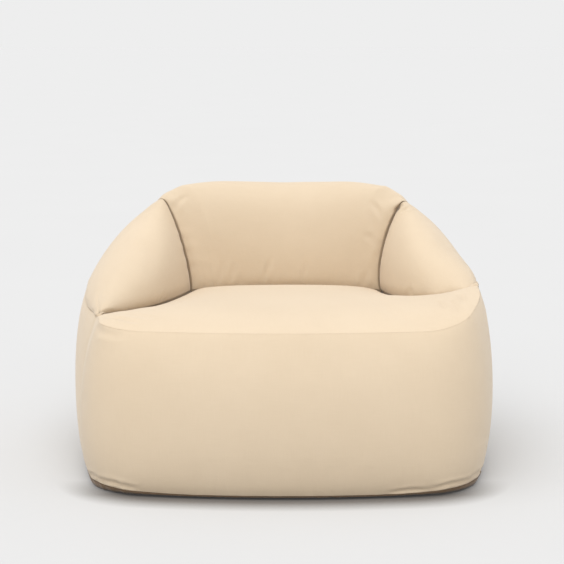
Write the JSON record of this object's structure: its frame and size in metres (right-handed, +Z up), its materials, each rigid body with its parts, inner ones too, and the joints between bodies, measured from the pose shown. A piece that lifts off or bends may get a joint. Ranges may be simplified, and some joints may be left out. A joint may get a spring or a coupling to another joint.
{
  "type": "bean bag chair",
  "caption": "Low bean bag armchair: a square rounded seat with sloping padded arms and a rolled backrest, in a removable zipped fabric cover over two bead-filled sacks.",
  "frame": {"origin": "on the floor, under the middle of the chair's outside size", "axes": "+Z up, the open front of the seat faces -Y, +X to the right as seen from the front"},
  "size_m": [0.9602, 0.8799, 0.612],
  "materials": {
    "cover_fabric": "matt plain-woven cotton canvas, cream",
    "base_fabric": "matt heavier plain weave, darker cream",
    "sack_fabric": "thin smooth polyester, off-white",
    "beads": "expanded polystyrene beads, white",
    "zip_tape": "woven zip tape, cream",
    "zip_coil": "nylon coil, cream",
    "zip_metal": "satin nickel",
    "sack_zip": "woven tape and nylon coil, off-white",
    "label": "smooth satin ribbon, blank"
  },
  "bodies": {
    "root": {"front_panel": "cover_fabric", "left_side_panel": "cover_fabric", "right_side_panel": "cover_fabric", "rear_lower_panel": "cover_fabric", "rear_upper_panel": "cover_fabric", "left_arm_panel": "cover_fabric", "right_arm_panel": "cover_fabric", "backrest_panel": "cover_fabric", "seat_panel": "cover_fabric", "base_panel": "base_fabric", "sack_divider_panel": "sack_fabric", "seat_sack": "sack_fabric", "bolster_sack": "sack_fabric", "seat_beads": "beads", "bolster_beads": "beads", "zip_upper_tape": "zip_tape", "zip_lower_tape": "zip_tape", "zip_upper_coil": "zip_coil", "zip_lower_coil": "zip_coil", "zip_left_stop": "zip_metal", "zip_right_stop": "zip_metal", "seat_sack_zip_upper_half": "sack_zip", "seat_sack_zip_lower_half": "sack_zip", "bolster_sack_zip_upper_half": "sack_zip", "bolster_sack_zip_lower_half": "sack_zip", "care_label": "label"},
    "zip_slider": {"zip_slider": "zip_metal"},
    "zip_pull": {"zip_pull_tab": "zip_metal"},
    "seat_sack_slider": {"seat_sack_zip_slider": "zip_metal"},
    "bolster_sack_slider": {"bolster_sack_zip_slider": "zip_metal"}
  },
  "joints": [
    {"name": "zip_slider_travel", "type": "hinge", "parent": "root", "child": "zip_slider", "pos_m": [0, -0.46, 0.1], "axis": [0, 0, 1], "range_deg": [0, 35.3]},
    {"name": "zip_pull_swing", "type": "hinge", "parent": "zip_slider", "child": "zip_pull", "pos_m": [0.27393, 0.39953, 0.0997], "axis": [-0.0222, -0.0696, -0.9973], "range_deg": [0, 180]},
    {"name": "seat_sack_slider_travel", "type": "hinge", "parent": "root", "child": "seat_sack_slider", "pos_m": [0, -0.46, 0.21], "axis": [0, 0, 1], "range_deg": [0, 17.5]},
    {"name": "bolster_sack_slider_travel", "type": "hinge", "parent": "root", "child": "bolster_sack_slider", "pos_m": [0, -0.46, 0.52], "axis": [0, 0, 1], "range_deg": [0, 17.5]}
  ]
}
